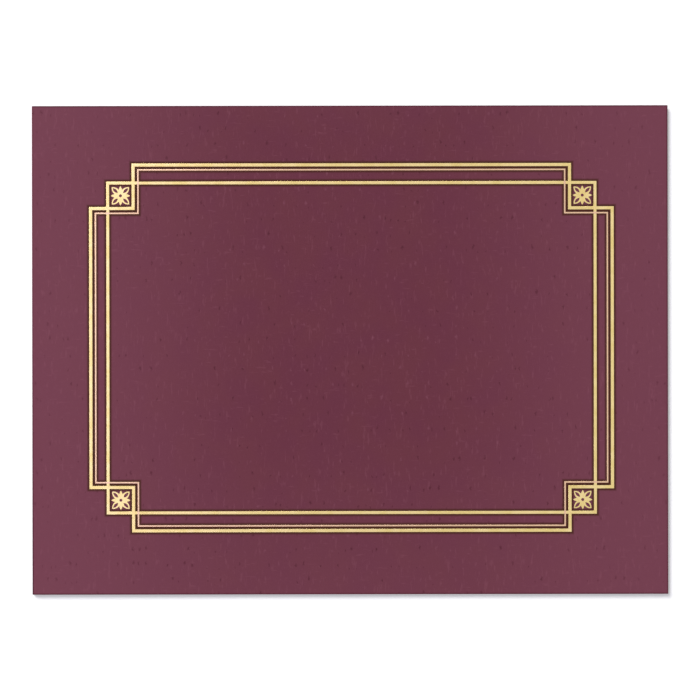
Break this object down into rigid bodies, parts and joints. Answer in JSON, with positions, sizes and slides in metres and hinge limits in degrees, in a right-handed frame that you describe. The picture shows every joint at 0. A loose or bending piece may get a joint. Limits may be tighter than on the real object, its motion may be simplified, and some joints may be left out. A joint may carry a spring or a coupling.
{
  "type": "certificate holder",
  "caption": "Landscape certificate holder: a folding cover with a stamped foil border, a two-crease spine and a glued inner panel whose half-moon tabs hold a letter-size sheet by its corners.",
  "frame": {"origin": "centre of the back cover's outer face, at the middle of the closed holder's footprint", "axes": "+X from the spine towards the free edge, +Y up the cover as it is read, +Z out of the front cover's foil side"},
  "size_m": [0.3174, 0.244, 0.0028],
  "materials": {
    "cover_stock": "matte",
    "gold_foil": "satin",
    "dried_glue": "satin"
  },
  "bodies": {
    "back": {"back_cover": "cover_stock", "turned_edge": "cover_stock", "mount_panel": "cover_stock", "glue_strip_top": "dried_glue", "glue_strip_bottom": "dried_glue", "glue_strip_spine": "dried_glue"},
    "spine": {"spine_strip": "cover_stock"},
    "front": {"front_cover": "cover_stock", "foil_border": "gold_foil", "foil_ornament_1": "gold_foil", "foil_ornament_2": "gold_foil", "foil_ornament_3": "gold_foil", "foil_ornament_4": "gold_foil"},
    "tab_1": {"corner_tab_1": "cover_stock"},
    "tab_2": {"corner_tab_2": "cover_stock"},
    "tab_3": {"corner_tab_3": "cover_stock"},
    "tab_4": {"corner_tab_4": "cover_stock"}
  },
  "joints": [
    {"name": "back_crease", "type": "hinge", "parent": "back", "child": "spine", "pos_m": [-0.1583, 0, 0.00045], "axis": [0, -1, 0], "range_deg": [0, 90]},
    {"name": "front_crease", "type": "hinge", "parent": "spine", "child": "front", "pos_m": [-0.1583, 0, 0.00235], "axis": [0, -1, 0], "range_deg": [0, 90]},
    {"name": "tab_1_bend", "type": "hinge", "parent": "back", "child": "tab_1", "pos_m": [0.13404, 0.10229, 0.0012], "axis": [-0.7071, 0.7071, 0], "range_deg": [0, 4], "stiffness_Nm_per_rad": 0.0005},
    {"name": "tab_2_bend", "type": "hinge", "parent": "back", "child": "tab_2", "pos_m": [-0.13404, 0.10229, 0.0012], "axis": [-0.7071, -0.7071, 0], "range_deg": [0, 4], "stiffness_Nm_per_rad": 0.0005},
    {"name": "tab_3_bend", "type": "hinge", "parent": "back", "child": "tab_3", "pos_m": [-0.13404, -0.10229, 0.0012], "axis": [0.7071, -0.7071, 0], "range_deg": [0, 4], "stiffness_Nm_per_rad": 0.0005},
    {"name": "tab_4_bend", "type": "hinge", "parent": "back", "child": "tab_4", "pos_m": [0.13404, -0.10229, 0.0012], "axis": [0.7071, 0.7071, 0], "range_deg": [0, 4], "stiffness_Nm_per_rad": 0.0005}
  ],
  "couplings": [
    {"joint": "back_crease", "follows": "front_crease", "ratio": 1}
  ]
}
